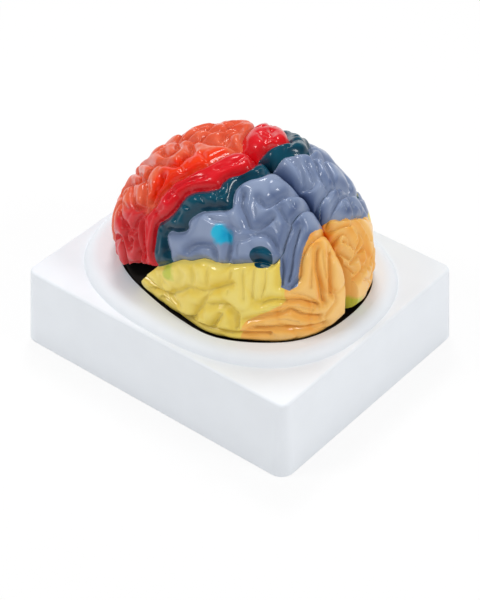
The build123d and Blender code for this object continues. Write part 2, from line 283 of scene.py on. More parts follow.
def brain_form(latitude, longitude):
    """Points of the smooth brain in millimetres, on its positive side."""
    theta, phi = np.radians(latitude), np.radians(longitude)
    along = power(np.sin(theta), 2 / roundness)
    shrink = np.abs(np.cos(theta)) ** (2 / roundness)
    front, above = along > 0, np.cos(phi) > 0
    narrowing = np.where(front, front_narrowing, -back_widening) * along**2
    fall = np.where(front, front_fall, back_fall) * along**2
    rise = np.where(above, crown_rise * (1 - fall), belly_drop)
    x = half_width * (1 - narrowing) * shrink * np.abs(np.sin(phi)) ** (2 / roundness)
    y = widest_y + np.where(front, front_length, back_length) * along
    z = widest_z + rise * shrink * power(np.cos(phi), 2 / roundness)
    points = np.stack([x, y, z], -1)
    outward = points - np.array([0, 0, widest_z])
    outward /= np.linalg.norm(outward, axis=-1, keepdims=True)
    outward[..., 1] = 0
    lift = 0.0
    for lat, lon, lat_reach, lon_reach, height in swells.values():
        for centre in (lon, -lon, 360 - lon):
            spread = ((latitude - lat) / lat_reach) ** 2 + ((longitude - centre) / lon_reach) ** 2
            lift = lift + height * np.exp(-spread)
    points = points + outward * np.asarray(lift)[..., None]
    points[..., 0] = np.hypot(points[..., 0], parting_width * parting(latitude))
    return points


print("Width of the smooth brain:", round(2 * float(brain_form(0.0, 90.0)[0]), 1), "mm")

# %% [markdown]
# ## Furrows
# Each furrow is a route over the smooth brain, as latitude and longitude. Many are alike on both
# halves, and the others are given for each side. Those that the photograph shows follow it. A
# spline through each route rounds its corners.

# %% Routes of the furrows
# Lines that both paint and furrows follow
central_side = [(1, 36), (3, 38), (6, 42), (7, 46), (8, 52), (10, 57), (14, 63), (14, 72)]
central_side += [(14, 78), (12, 83)]
postcentral_side = [(-6, 42), (-1, 46), (0, 48), (2, 54), (2, 59), (5, 62), (8, 63), (9, 66)]
postcentral_side += [(8, 70), (5, 77)]
precentral_side = [(14, 38), (15, 42), (17, 48), (18, 54), (22, 61)]
side_lines = {
    "left": {
        "central": [(-4, 2), (-7, 10), (-6, 16), (-3, 22), (-2, 28), (-2, 31), *central_side],
        "postcentral": [
            (-12, 2), (-13, 12), (-10, 18), (-8, 23), (-8, 29), (-9, 33), (-10, 38),
            *postcentral_side,
        ],
        "precentral": [(2, 2), (4, 10), (6, 22), (8, 26), (10, 32), *precentral_side],
    },
    "right": {
        "central": [(-3, 2), (-4, 8), (-6, 13), (-7, 20), (-4, 26), (-2, 30), *central_side],
        "postcentral": [
            (-10, 2), (-11, 7), (-14, 12), (-16, 17), (-16, 23), (-13, 28), (-10, 33), (-10, 38),
            *postcentral_side,
        ],
        "precentral": [(3, 2), (6, 8), (8, 16), (10, 30), *precentral_side],
    },
}
# Lines that part the upper piece from the lower
lateral = [(27, 89), (22, 87), (18, 85), (12, 83), (8, 80), (2, 74), (-1, 72), (-6, 68), (-12, 67)]
lateral += [(-18, 64), (-26, 59), (-32, 55), (-37, 53), (-39, 46)]
parieto_occipital = [(-39, 46), (-38, 33), (-36, 26), (-36, 17), (-36, 2)]

shared_furrows = {
    "lateral": lateral,
    "parieto_occipital": parieto_occipital,
    "superior_frontal": [(16, 17), (18, 20), (17, 27), (24, 27), (28, 27), (31, 34), (30, 41)],
    "long_fissure": [(80, 0), (60, 0), (40, 0), (20, 0), (0, 0), (-20, 0), (-44, 0)],
    "frontal_edge": [(22, 2), (22, 6), (18, 12), (16, 17)],
    "frontal_edge_fore": [(31, 2), (29, 8), (25, 14), (27, 20), (33, 16)],
    "frontal_slope": [(30, 41), (26, 48), (24, 54), (22, 61)],
    "frontal_slope_back": [(20, 37), (19, 42), (20, 48), (20, 54)],
    "frontal_arc": [(30, 41), (36, 42), (40, 44), (37, 50), (34, 54), (28, 59), (22, 57)],
    "frontal_rise": [(42, 23), (36, 26), (30, 30)],
    "frontal_fall": [(54, 26), (45, 32), (36, 37), (36, 42)],
    "opercular_arch": [
        (22, 61), (24, 64), (25, 67), (26, 72), (33, 70), (38, 67), (40, 63), (47, 57)
    ],
    "opercular_side": [(40, 81), (34, 79), (31, 85), (30, 94)],
    "opercular_a": [(25, 67), (24, 71), (23, 75), (21, 80), (22, 88)],
    "opercular_b": [(22, 63), (21, 67), (20, 71), (19, 76), (18, 84)],
    "opercular_knob": [(29, 71), (30, 76), (27, 80), (26, 76)],
    "frontal_top": [(37, 2), (38, 10), (44, 15), (52, 12), (60, 14)],
    "frontal_fore": [(42, 23), (50, 22), (58, 27), (66, 24), (74, 34)],
    "frontal_tip": [(62, 2), (68, 14), (72, 30), (66, 44)],
    "frontal_side": [(40, 44), (47, 44), (52, 52), (47, 57), (48, 68), (44, 80), (46, 92)],
    "frontal_side_fore": [(54, 26), (56, 40), (62, 46), (57, 58), (58, 72), (52, 84)],
    "frontal_low": [(66, 44), (70, 60), (64, 74), (66, 92)],
    "orbital": [(46, 92), (50, 106), (46, 122)],
    "orbital_fore": [(66, 92), (62, 108), (58, 126)],
    "superior_temporal": [
        (13, 97), (9, 94), (4, 90), (1, 88), (-2, 84), (-9, 82), (-16, 77), (-21, 73)
    ],
    "temporal_blob_fore": [(2, 88), (4, 91), (1, 93)],
    "temporal_blob": [(-12, 80), (-10, 84), (-9, 88), (-7, 90), (-6, 96), (-2, 104)],
    "middle_temporal": [(-10, 87), (-18, 84), (-22, 84), (-25, 86), (-26, 89), (-26, 94)],
    "middle_temporal_fold": [(-18, 88), (-16, 92), (-15, 98)],
    "temporal_tip_fold": [(20, 89), (13, 91), (8, 94), (4, 98), (0, 104)],
    "lower_temporal": [(8, 100), (0, 104), (-10, 101), (-20, 100), (-30, 98), (-42, 98)],
    "lateral_occipital": [(-30, 88), (-40, 84), (-48, 81), (-53, 78), (-60, 82), (-70, 86)],
    "occipital_upper": [(-36, 78), (-42, 74), (-50, 72), (-58, 69), (-68, 71)],
    "occipital_base": [(-34, 91), (-44, 90), (-54, 91), (-64, 100), (-72, 112)],
    "tongue_fore": [(-37, 25), (-38, 33), (-40, 44), (-43, 52), (-45, 62)],
    "occipital_rib": [(-54, 22), (-59, 34), (-64, 42), (-68, 52), (-72, 66)],
    "occipital_rib_back": [(-60, 10), (-65, 20), (-71, 34), (-76, 50)],
}
side_only = {
    "left": {
        "intraparietal": [(-12, 28), (-14, 34), (-18, 38), (-22, 42), (-26, 36), (-28, 29)],
        "parietal_cup": [(-19, 26), (-23, 26), (-25, 20), (-27, 12), (-28, 3)],
        "parietal_back": [(-28, 22), (-32, 24), (-37, 26)],
        "angular": [(-24, 43), (-28, 40), (-33, 40), (-39, 45)],
        "supramarginal": [(0, 68), (-2, 64), (-7, 61), (-10, 62), (-12, 67)],
        "supramarginal_back": [(-14, 50), (-16, 56), (-17, 65)],
        "tongue_middle": [(-41, 22), (-44, 36), (-47, 48), (-48, 58)],
        "lunate": [(-50, 2), (-50, 16), (-49, 26), (-50, 38), (-53, 50), (-50, 62)],
    },
    "right": {
        "parietal_edge": [(-12, 9), (-16, 8), (-20, 7), (-24, 4)],
        "parietal_tee": [(-22, 2), (-26, 3), (-29, 7), (-26, 9), (-21, 11)],
        "parietal_ridge": [(-20, 19), (-24, 16), (-28, 13), (-34, 12), (-37, 10)],
        "parietal_side": [(-21, 28), (-27, 24), (-34, 20), (-40, 20)],
        "parietal_rim": [(-17, 18), (-20, 24), (-21, 35), (-24, 42)],
        "intraparietal": [(-24, 44), (-32, 42), (-39, 36), (-40, 29)],
        "parietal_back": [(-40, 29), (-42, 17), (-44, 10), (-46, 3)],
        "tongue_middle": [(-43, 28), (-48, 28), (-52, 32)],
        "lunate": [(-44, 2), (-46, 6), (-50, 12), (-52, 24), (-50, 46)],
        "occipital_fold": [(-46, 2), (-50, 4), (-53, 11), (-55, 20)],
        "occipital_turn": [(-57, 1), (-56, 9), (-59, 15), (-66, 20)],
        "occipital_side": [(-58, 29), (-64, 31), (-69, 23)],
        "occipital_low": [(-73, 14), (-70, 28), (-66, 41)],
        "occipital_bank": [(-63, 0), (-66, 6), (-70, 12)],
        "occipital_bank_low": [(-72, 0), (-75, 8), (-78, 20)],
        "occipital_foot": [(-80, 0), (-82, 14), (-80, 38), (-73, 54)],
        "frontal_crest": [(30, 12), (22, 11), (17, 12)],
        "frontal_crest_back": [(13, 4), (14, 12), (11, 16)],
        "frontal_step": [(10, 2), (12, 7), (10, 13), (12, 18), (16, 17)],
        "supramarginal": [(-2, 58), (-8, 54), (-13, 60)],
    },
}
# Shallow creases on the backs of the folds
shared_creases = {
    "red_streak_a": [(-2, 8), (-1, 16), (1, 22)],
    "red_streak_b": [(3, 30), (8, 37), (11, 43), (12, 49)],
    "red_streak_c": [(13, 54), (17, 60), (17, 68)],
    "teal_dent_a": [(-10, 8), (-10, 14), (-8, 20)],
    "teal_dent_b": [(-4, 29), (-6, 33), (-4, 37)],
    "teal_dent_c": [(1, 41), (-1, 43)],
    "teal_dent_d": [(5, 52), (6, 57)],
    "teal_dent_e": [(11, 67), (11, 75)],
    "orange_pit": [(17, 27), (14, 29), (12, 32), (12, 35)],
    "orange_line": [(12, 14), (8, 18), (5, 23)],
    "frontal_slope_mid": [(26, 42), (22, 48), (20, 52), (18, 56)],
    "opercular_c": [(20, 62), (18, 67), (17, 71), (17, 77), (15, 84)],
    "frontal_hook": [(28, 59), (32, 61), (38, 59)],
    "frontal_dimple": [(42, 50), (43, 56)],
    "frontal_fork": [(50, 22), (48, 30)],
    "brow_a": [(54, 66), (55, 76)],
    "brow_b": [(38, 90), (40, 104)],
    "postcentral_dent_a": [(-2, 35), (-4, 38), (-4, 41)],
    "postcentral_dent_b": [(7, 49), (5, 48), (3, 48)],
    "postcentral_dent_c": [(13, 63), (9, 65)],
    "temporal_gap_a": [(2, 77), (0, 80), (1, 84)],
    "temporal_gap_b": [(-2, 72), (-4, 77), (-4, 82)],
    "temporal_gap_c": [(-9, 71), (-10, 76), (-11, 81)],
    "temporal_row_a": [(-20, 67), (-20, 72), (-20, 78)],
    "temporal_row_b": [(-25, 64), (-26, 70), (-28, 78)],
    "temporal_row_c": [(-30, 61), (-31, 68), (-32, 76)],
    "temporal_row_d": [(-35, 57), (-37, 66), (-36, 76)],
    "temporal_end": [(14, 83), (10, 86), (5, 87)],
    "temporal_tip": [(9, 85), (8, 90), (4, 94)],
    "occipital_line_a": [(-50, 66), (-58, 64), (-66, 66)],
    "occipital_line_b": [(-42, 79), (-50, 76), (-58, 75), (-66, 77)],
    "occipital_line_c": [(-40, 87), (-50, 85), (-58, 87)],
    "occipital_line_d": [(-52, 26), (-56, 36), (-59, 46), (-61, 54)],
    "occipital_line_e": [(-57, 20), (-62, 28), (-67, 36)],
    "occipital_line_f": [(-76, 40), (-80, 62), (-74, 88)],
    "tongue_ridge": [(-43, 22), (-47, 36), (-50, 50), (-49, 58)],
}
side_creases = {
    "left": {
        "parietal_row": [(-2, 48), (-7, 48), (-12, 46), (-18, 46)],
        "parietal_row_low": [(-17, 53), (-22, 48), (-25, 43)],
        "parietal_fan_a": [(-18, 28), (-20, 32), (-22, 36)],
        "parietal_fan_b": [(-31, 15), (-37, 17), (-42, 20)],
        "parietal_fan_c": [(-28, 29), (-31, 32), (-34, 34)],
        "supramarginal_inner": [(-5, 68), (-6, 64), (-8, 64), (-10, 66)],
        "supramarginal_low": [(-19, 52), (-20, 56), (-22, 61)],
        "angular_low": [(-28, 50), (-32, 47), (-36, 47)],
    },
    "right": {
        "parietal_line": [(-24, 22), (-30, 18), (-36, 14)],
        "parietal_line_back": [(-44, 18), (-48, 18), (-52, 16)],
        "red_line_a": [(2, 14), (-1, 14), (-4, 13)],
        "red_line_b": [(1, 12), (-2, 7), (-4, 4)],
        "occipital_fan_a": [(-56, 28), (-60, 30), (-64, 22), (-66, 12)],
        "occipital_fan_b": [(-60, 42), (-66, 43), (-71, 32)],
        "occipital_fan_c": [(-82, 20), (-79, 34), (-76, 48)],
    },
}
curve_steps = 4


def rounded(route):
    """Latitudes and longitudes along a spline that passes through the points of a route."""
    knots = np.array([route[0], *route, route[-1]], float)
    share = np.linspace(0, 1, curve_steps, endpoint=False)[:, None]
    runs = []
    for before, start, end, after in zip(knots, knots[1:], knots[2:], knots[3:]):
        bend = 2 * before - 5 * start + 4 * end - after
        swing = 3 * start - before - 3 * end + after
        runs.append(start + (end - before + bend * share + swing * share**2) * share / 2)
    return np.vstack([*runs, knots[-1:]]).T


def places_along(route):
    """The same spline as a list of places, for an outline that shares the line."""
    return rounded(route).T.tolist()


def line_object(name, routes):
    """A mesh of bare edges on the smooth brain, which the folding tree measures from."""
    points, edges = [], []
    for route in routes:
        line = (brain_form(*rounded(route)) * mm).tolist()
        first = len(points)
        points += line
        edges += [(i, i + 1) for i in range(first, first + len(line) - 1)]
    mesh = bpy.data.meshes.new(name)
    mesh.from_pydata(points, edges, [])
    return placed(name, mesh)


side_furrows, creases = {}, {}
for side in ("left", "right"):
    side_furrows[side] = {**shared_furrows, **side_lines[side], **side_only[side]}
    creases[side] = {**shared_creases, **side_creases[side]}
print("Furrows on the left and the right:", [len(routes) for routes in side_furrows.values()])

# %% [markdown]
# ## Folding with Geometry Nodes
# A fold follows a rule: the nearer a point is to a furrow, the deeper it sinks towards the core.
# Geometry Proximity measures that distance, and a quarter of an oval turns it into depth, so two
# folds meet in a sharp crease and each has a round back. A wider and shallower profile is added,
# which lets the back of each fold fall away to both sides. Shallow wrinkles run where a slow
# noise passes its middle value, which gives long wandering lines. The long fissure is a wide
# valley at the middle.
#
# The tree reads the valley's share and the direction to sink in from attributes of the mesh. It
# leaves an attribute of its own, the crease, that says how far each point has sunk into a furrow
# or the fissure. The material paints shade there, darker the deeper the point has sunk.

# %% Geometry Nodes tree that folds the cortex
fold_depth, fold_reach = 5.2 * mm, 6.0 * mm
fold_smoothing = 2
ripple_scale = 70.0
wrinkle_scale, wrinkle_narrowness, wrinkle_power = 42.0, 8.0, 2.0


def fold_profile(tree, lines, depth, reach):
    """Depth of a round-backed fold round a set of lines."""
    lines = add_node(tree, "GeometryNodeObjectInfo", {"Object": lines}).outputs["Geometry"]
    near = add_node(tree, "GeometryNodeProximity", {0: lines}, target_element="EDGES")
    away = maths(tree, "DIVIDE", near.outputs["Distance"], reach, clamp=True)
    rest = maths(tree, "SUBTRACT", 1.0, away)
    height = maths(tree, "SQRT", maths(tree, "SUBTRACT", 1.0, maths(tree, "POWER", rest, 2.0)))
    return maths(tree, "MULTIPLY", maths(tree, "SUBTRACT", 1.0, height), depth)


def folding_tree():
    tree = bpy.data.node_groups.new("fold_the_cortex", "GeometryNodeTree")
    add_sockets(tree, "INPUT", [
        ("Smooth half", "Geometry"),
        ("Furrows", "Object"),
        ("Fold depth", "Float", fold_depth),
        ("Fold reach", "Float", fold_reach),
        ("Slope depth", "Float", 0.0024),
        ("Slope reach", "Float", 0.012),
        ("Creases", "Object"),
        ("Crease depth", "Float", 0.0034),
        ("Crease reach", "Float", 0.0042),
        ("Fissure depth", "Float", 0.015),
        # How strong the painted shade in the long fissure is
        ("Fissure dark", "Float", 22.0),
        ("Ripple", "Float", 0.0014),
        ("Wrinkle depth", "Float", 0.0007),
        ("Paint", "Material"),
    ])
    add_sockets(tree, "OUTPUT", [("Folded half", "Geometry")])
    given = add_node(tree, "NodeGroupInput").outputs
    folds = fold_profile(tree, given["Furrows"], given["Fold depth"], given["Fold reach"])
    slope = fold_profile(tree, given["Furrows"], given["Slope depth"], given["Slope reach"])
    folds = maths(tree, "ADD", folds, slope)
    lines = fold_profile(tree, given["Creases"], given["Crease depth"], given["Crease reach"])
    folds = maths(tree, "MAXIMUM", folds, lines)
    blur = {0: folds, "Iterations": fold_smoothing}
    folds = add_node(tree, "GeometryNodeBlurAttribute", blur).outputs[0]
    place = add_node(tree, "GeometryNodeInputPosition").outputs[0]
    valley = add_node(
        tree, "GeometryNodeInputNamedAttribute", {"Name": "valley"}, data_type="FLOAT"
    )
    valley = maths(tree, "MULTIPLY", valley.outputs[0], given["Fissure depth"])
    ripple = noise(tree, place, ripple_scale, 2.0)
    ripple = maths(tree, "MULTIPLY", ripple, given["Ripple"])
    slow = noise(tree, place, wrinkle_scale, 0.0)
    off_line = maths(tree, "ABSOLUTE", maths(tree, "SUBTRACT", slow, 0.5))
    off_line = maths(tree, "MULTIPLY", off_line, wrinkle_narrowness, clamp=True)
    wrinkle = maths(tree, "POWER", maths(tree, "SUBTRACT", 1.0, off_line), wrinkle_power)
    wrinkle = maths(tree, "MULTIPLY", wrinkle, given["Wrinkle depth"])
    folds = maths(tree, "ADD", folds, wrinkle)
    depth = maths(tree, "ADD", maths(tree, "ADD", folds, valley), ripple)
    inward = add_node(
        tree, "GeometryNodeInputNamedAttribute", {"Name": "inward"}, data_type="FLOAT_VECTOR"
    )
    move = add_node(
        tree, "ShaderNodeVectorMath", {0: inward.outputs[0], "Scale": depth}, operation="SCALE"
    )
    moved = add_node(
        tree, "GeometryNodeSetPosition", {0: given["Smooth half"], "Offset": move.outputs[0]}
    )
    # Painted shade in the long fissure, stronger the deeper its valley
    sunk = maths(tree, "MULTIPLY", maths(tree, "MULTIPLY", valley, valley), given["Fissure dark"])
    crease = maths(tree, "MAXIMUM", folds, sunk)
    # Kept as the crease, which the material reads for its painted shade
    kept = {"Geometry": moved.outputs[0], "Name": "crease", "Value": crease}
    kept = add_node(tree, "GeometryNodeStoreNamedAttribute", kept, domain="POINT")
    solid = add_node(tree, "GeometryNodeRealizeInstances", {0: kept.outputs[0]})
    painted = add_node(
        tree, "GeometryNodeSetMaterial", {0: solid.outputs[0], "Material": given["Paint"]}
    )
    add_node(tree, "NodeGroupOutput", {0: painted.outputs[0]})
    return tree


fold_the_cortex = folding_tree()
print("Folding tree has", len(fold_the_cortex.nodes), "nodes")

# %% [markdown]
# ## Fields of paint
# The maker paints each area of the cortex in its own colour. A field is an outline in latitude and
# longitude. For each point of the mesh, the lesson stores how far inside the outline it is, in
# millimetres and less than zero outside. The material turns that number into a crisp or a soft
# edge, which stays sharp however coarse the mesh is. The red, teal and blue fields each start at
# one of the furrows and run on to the back of the brain. They are laid in turn, so no other
# colour shows between two of them.

# %% Outlines of the painted fields
# Longitudes beyond the top and the underside, where an outline runs on over the middle
top, under = -12, 190
# Far outside every outline in millimetres, and a length too short to matter
far_outside, no_length = 1000.0, 1e-9
behind = [(-95, 110), (-95, top)]
amber_side = [(-40, 46), (-45, 59), (-47, 63), (-49, 72), (-47, 76), (-39, 82), (-34, 86)]
amber_side += [(-30, 88), (-28, 94), (-28, under), (-95, under), (-95, top)]
tongues = {
    "left": [
        (-30, top), (-30, 40), (-38, 45), (-40, 48), (-44, 60), (-45, 64), (-50, 64), (-54, 58),
        (-52, 50), (-48, 30), (-47, 20), (-48, 10), (-48, top),
    ],
    "right": [
        (-30, top), (-30, 64), (-40, 66), (-48, 60), (-50, 46), (-52, 24), (-50, 12), (-46, 6),
        (-44, 1), (-44, top),
    ],
}
# The stretch of the precentral line that borders the orange field, and the field's far edge
orange_run = slice(4, 32)
orange_edge = [(22, 50), (24, 40), (22, 30), (19, 20), (7, 6)]


def field_behind(route, *foot):
    """An outline from a line, with its foot on the side, back to the end of the brain."""
    return [(route[0][0], top), *places_along(route), *foot, *behind]


side_fields = {}
for side, lines in side_lines.items():
    side_fields[side] = {
        "crimson": [(18, 62), (24, 57), (32, 58), (40, 66), (44, 78), (42, 110), (17, 110)],
        "red": field_behind(lines["precentral"], (21, 66), (20, 74), (20, 110)),
        "teal": field_behind(lines["central"], (10, 90), (10, 110)),
        "blue": field_behind(lines["postcentral"], (2, 86), (2, 110)),
        "amber": [(-40, top), *amber_side],
        "tongue": tongues[side],
    }
orange_line = places_along(side_lines["left"]["precentral"])[orange_run]
side_fields["left"]["orange"] = [(3, 6), *orange_line, *orange_edge]

# Round spots: latitude, longitude and radius in millimetres
side_spots = {
    "left": {"cyan": (-11, 53, 6.0), "dark_teal": (-31.3, 52.8, 6.7), "leaf": (5.5, 81.5, 5.0)},
    "right": {"leaf": (-76, 180, 9.5)},
}


def line_distance(points, line):
    """Distance from each point to a line of points."""
    nearest = np.full(len(points), far_outside)
    for start, end in zip(line[:-1], line[1:]):
        step = end - start
        share = np.clip((points - start) @ step / max(step @ step, no_length), 0, 1)
        gap = np.linalg.norm(points - start - share[:, None] * step, axis=1)
        nearest = np.minimum(nearest, gap)
    return nearest


def depth_inside(points, latitude, longitude, outline):
    """How far inside an outline each point is, in millimetres."""
    closed = np.array([*outline, outline[0]], float)
    inside = np.zeros(len(points), bool)
    for (lat_0, lon_0), (lat_1, lon_1) in zip(closed[:-1], closed[1:]):
        if lon_0 != lon_1:
            crosses = (longitude < max(lon_0, lon_1)) & (longitude >= min(lon_0, lon_1))
            meets = lat_0 + (longitude - lon_0) * (lat_1 - lat_0) / (lon_1 - lon_0)
            inside ^= crosses & (latitude < meets)
    gap = np.full(len(points), far_outside)
    for start, end in zip(closed[:-1], closed[1:]):
        if min(start[1], end[1]) >= 0 and max(start[1], end[1]) <= 180:
            gap = np.minimum(gap, line_distance(points, brain_form(*np.array([start, end]).T)))
    return np.where(inside, gap, -gap)


print("Fields on the left:", ", ".join(side_fields["left"]))

# %% [markdown]
# ## Paint as a shader group
# Every field does the same thing to the colour below it, so that is one group of shader nodes: it
# lays a colour over another where the stored depth is above zero. A little noise moves the edge,
# as a brush does. A second group gives the moulded surface and paints shade into the creases,
# where a gamma above 1 makes a colour both darker and stronger. The gloss is slightly uneven, and
# a fine bump gives the faint orange-peel of sprayed varnish.

# %% Shader groups
brush_scale, mottle_scale = 220.0, 45.0
roughness_swing = 0.12


def paint_group():
    tree = bpy.data.node_groups.new("lay_paint", "ShaderNodeTree")
    add_sockets(tree, "INPUT", [
        ("Below", "Color"),
        ("Paint", "Color"),
        ("Depth inside", "Float", 0.0),
        ("Edge softness", "Float", 0.3),
        ("Brush wobble", "Float", 0.5),
    ])
    add_sockets(tree, "OUTPUT", [("Colour", "Color")])
    given = add_node(tree, "NodeGroupInput").outputs
    place = add_node(tree, "ShaderNodeTexCoord").outputs["Object"]
    sway = maths(tree, "SUBTRACT", noise(tree, place, brush_scale, 1.0), 0.5)
    sway = maths(tree, "MULTIPLY", sway, given["Brush wobble"])
    depth = maths(tree, "ADD", given["Depth inside"], sway)
    share = maths(tree, "DIVIDE", depth, given["Edge softness"])
    share = maths(tree, "ADD", share, 0.5, clamp=True)
    add_node(tree, "NodeGroupOutput", {0: blend(tree, share, given["Below"], given["Paint"])})
    return tree


def moulded_group():
    tree = bpy.data.node_groups.new("moulded_plastic", "ShaderNodeTree")
    add_sockets(tree, "INPUT", [
        ("Colour", "Color"),
        ("Crease", "Float", 0.0),
        ("Crease dark", "Float", 0.0),
        ("Mottle", "Float", 0.06),
        ("Roughness", "Float", 0.3),
        ("Peel height", "Float", 0.00002),
        ("Peel scale", "Float", 900.0),
    ])
    outputs = [("Colour", "Color"), ("Roughness", "Float"), ("Normal", "Vector")]
    add_sockets(tree, "OUTPUT", outputs)
    given = add_node(tree, "NodeGroupInput").outputs
    place = add_node(tree, "ShaderNodeTexCoord").outputs["Object"]
    fine = noise(tree, place, given["Peel scale"], 2.0)
    swing = maths(tree, "SUBTRACT", noise(tree, place, mottle_scale, 3.0), 0.5)
    light = maths(tree, "ADD", maths(tree, "MULTIPLY", swing, given["Mottle"]), 1.0)
    # Painted shade in the creases: a gamma above 1 darkens the colour and makes it stronger
    shade = maths(tree, "MULTIPLY", given["Crease"], given["Crease dark"])
    shade = add_node(
        tree, "ShaderNodeGamma", {0: given["Colour"], 1: maths(tree, "ADD", 1.0, shade)}
    )
    toned = {0: shade.outputs[0], "Scale": light}
    toned = add_node(tree, "ShaderNodeVectorMath", toned, operation="SCALE")
    swing = maths(tree, "MULTIPLY", swing, roughness_swing)
    rough = maths(tree, "ADD", given["Roughness"], swing)
    bump = add_node(tree, "ShaderNodeBump", {"Height": fine, "Distance": given["Peel height"]})
    add_node(tree, "NodeGroupOutput", {0: toned.outputs[0], 1: rough, 2: bump.outputs[0]})
    return tree


lay_paint, moulded_plastic = paint_group(), moulded_group()
print("Shader groups:", lay_paint.name, "and", moulded_plastic.name)

# %% [markdown]
# ## Materials
# Each cortex material starts from one colour and lays its fields over it in turn. A clear coat
# gives the sharp highlights of varnish over the softer gloss of the plastic. The base is plain
# white, with painted shade on the wall of its cradle for the dark gap round the brain.

# %% Paints and plastics
paints = {
    "coral": linear(228, 106, 74),
    "crimson": linear(212, 58, 62),
    "orange": linear(235, 56, 3),
    "red": linear(216, 20, 34),
    "teal": linear(0, 76, 96),
    "blue": linear(138, 152, 180),
    "tongue": linear(138, 152, 180),
    "amber": linear(244, 194, 112),
    "yellow": linear(238, 216, 116),
    "cyan": linear(40, 180, 214),
    "dark_teal": linear(0, 80, 104),
    "leaf": linear(198, 202, 72),
}
# Width of the soft edge and sway of the brush in millimetres, where they aren't the usual ones
soft_edges = {"crimson": 9.0, "orange": 5.0, "leaf": 3.0, "cyan": 3.0}
wobbles = {"cyan": 5.0, "leaf": 4.0, "crimson": 6.0, "orange": 5.0, "amber": 1.5}
crisp_edge, usual_wobble = 0.3, 0.5
# How the painted shade in the creases grows with their depth
crease_shade_power = 1.6
coat_roughness, specular = 0.07, 0.2
fine_peel, faint_peel = 0.00002, 0.00001

# The collar's rim in metres, and the levels between which the cradle's wall lies inside it
rim_half_width, rim_half_length, rim_power = 72.5 * mm, 89.0 * mm, 2.45
cradle_floor, cradle_edge = 5.0 * mm, 59.4 * mm
# Painted shade on the cradle's wall, for the dark gap round the brain
cradle_shade_colour = linear(52, 47, 44)


def cradle_share(tree):
    """1 on the wall of the cradle, where shade is painted, 0 on the rest of the base."""
    place = add_node(tree, "ShaderNodeTexCoord").outputs["Object"]
    x, y, z = add_node(tree, "ShaderNodeSeparateXYZ", {0: place}).outputs
    across = maths(tree, "ABSOLUTE", maths(tree, "DIVIDE", x, rim_half_width))
    along_base = maths(tree, "ABSOLUTE", maths(tree, "DIVIDE", y, rim_half_length))
    across = maths(tree, "POWER", across, rim_power)
    along_base = maths(tree, "POWER", along_base, rim_power)
    inside = maths(tree, "LESS_THAN", maths(tree, "ADD", across, along_base), 1.0)
    below = maths(tree, "LESS_THAN", z, cradle_edge)
    above = maths(tree, "GREATER_THAN", z, cradle_floor)
    return maths(tree, "MULTIPLY", inside, maths(tree, "MULTIPLY", below, above))


def painted(tree, colour, fields):
    """A colour with fields of paint laid over it in turn, and the share of painted shade in the
    creases.
    """
    for field in fields:
        depth = add_node(tree, "ShaderNodeAttribute", attribute_name=f"field_{field}")
        layer = {
            "Below": colour,
            "Paint": paints[field],
            "Depth inside": depth.outputs["Fac"],
            "Edge softness": soft_edges.get(field, crisp_edge),
            "Brush wobble": wobbles.get(field, usual_wobble),
        }
        colour = add_node(tree, "ShaderNodeGroup", layer, node_tree=lay_paint).outputs["Colour"]
    # Depth in a furrow or the fissure, which sets the painted shade there
    crease = add_node(tree, "ShaderNodeAttribute", attribute_name="crease").outputs["Fac"]
    crease = maths(tree, "MULTIPLY", crease, 1 / fold_depth, clamp=True)
    return colour, maths(tree, "POWER", crease, crease_shade_power)


def shade_the_cradle(tree, colour, painted_cradle_shade):
    """The base's colour, with painted shade on the wall of its cradle."""
    return blend(tree, cradle_share(tree), colour, painted_cradle_shade)


def plastic(
    name, colour, roughness=0.3, coat=0.0, fields=(), crease_shade=0.0, peel=fine_peel, painted_cradle_shade=None
):
    """A moulded plastic, painted in fields or given painted shade in the cradle where that is
    asked for.
    """
    material = bpy.data.materials.new(name)
    tree = empty_tree(material)
    crease = 0.0
    if fields:
        colour, crease = painted(tree, colour, fields)
    if painted_cradle_shade:
        colour = shade_the_cradle(tree, colour, painted_cradle_shade)
    mould = {
        "Colour": colour,
        "Crease": crease,
        "Crease dark": crease_shade,
        "Roughness": roughness,
        "Peel height": peel,
    }
    surface = add_node(tree, "ShaderNodeGroup", mould, node_tree=moulded_plastic).outputs
    shader = {
        "Base Color": surface["Colour"],
        "Roughness": surface["Roughness"],
        "Normal": surface["Normal"],
        "Coat Weight": coat,
        "Coat Roughness": coat_roughness,
        "Specular IOR Level": specular,
    }
    shader = add_node(tree, "ShaderNodeBsdfPrincipled", shader)
    add_node(tree, "ShaderNodeOutputMaterial", {"Surface": shader.outputs[0]})
    return material


upper_fields = ["crimson", "orange", "red", "teal", "blue", "cyan", "dark_teal"]
lower_fields = ["amber", "leaf", "tongue", "dark_teal"]
# The cortex materials paint shade into their creases
finishes = {
    "upper_lobes": plastic(
        "painted_upper_lobes", paints["coral"], coat=0.4, fields=upper_fields, crease_shade=2.6
    ),
    "lower_lobes": plastic(
        "painted_lower_lobes", paints["yellow"], coat=0.4, fields=lower_fields, crease_shade=3.4
    ),
    "underside_pieces": plastic(
        "underside_plastic", linear(226, 200, 176), roughness=0.35, coat=0.3
    ),
    # The base, with painted shade on the wall of its cradle
    "white_base": plastic(
        "white_base_plastic", linear(234, 238, 243), 0.42, peel=faint_peel, painted_cradle_shade=cradle_shade_colour
    ),
    "dowel_plastic": plastic("dowel_plastic", linear(228, 226, 218)),
}
print("Materials:", ", ".join(material.name for material in finishes.values()))

# %% [markdown]
# ## One smooth half as a mesh
# Rows of points from back to front and columns from top to bottom cover one half. The middle is
# closed by a flat wall, and both poles by a face. The direction in which each point may sink is
# stored with it: towards a line inside the brain, so that folds go in at right angles.

# %% Mesh of a smooth half
rows, columns = 430, 300
end_latitude = 88.5
half_gap = 0.25
core_back, core_front, core_height = -50.0, 45.0, 70.0
